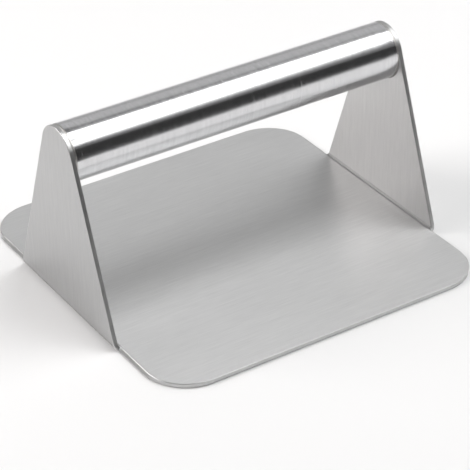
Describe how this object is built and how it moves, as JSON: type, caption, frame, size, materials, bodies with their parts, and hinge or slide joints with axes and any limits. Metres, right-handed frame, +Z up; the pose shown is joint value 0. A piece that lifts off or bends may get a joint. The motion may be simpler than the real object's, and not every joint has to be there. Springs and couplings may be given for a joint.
{
  "type": "griddle press",
  "caption": "Square flat-bottomed hand press of folded stainless sheet with a round tube handle welded between two tapered uprights.",
  "frame": {"origin": "centre of the pressing face, the plate's underside", "axes": "+X along the handle, +Y from the front edge to the back edge, +Z up from the pressing face to the handle"},
  "size_m": [0.1436, 0.14, 0.076],
  "materials": {
    "brushed_sheet": "brushed one way along the sheet, satin",
    "brushed_tube": "fine circumferential brushing over a near polish",
    "weld_metal": "welded, and dressed flush on top"
  },
  "bodies": {
    "root": {"folded_sheet": "brushed_sheet", "handle_tube": "brushed_tube", "left_weld_seam": "weld_metal", "right_weld_seam": "weld_metal"}
  },
  "joints": []
}
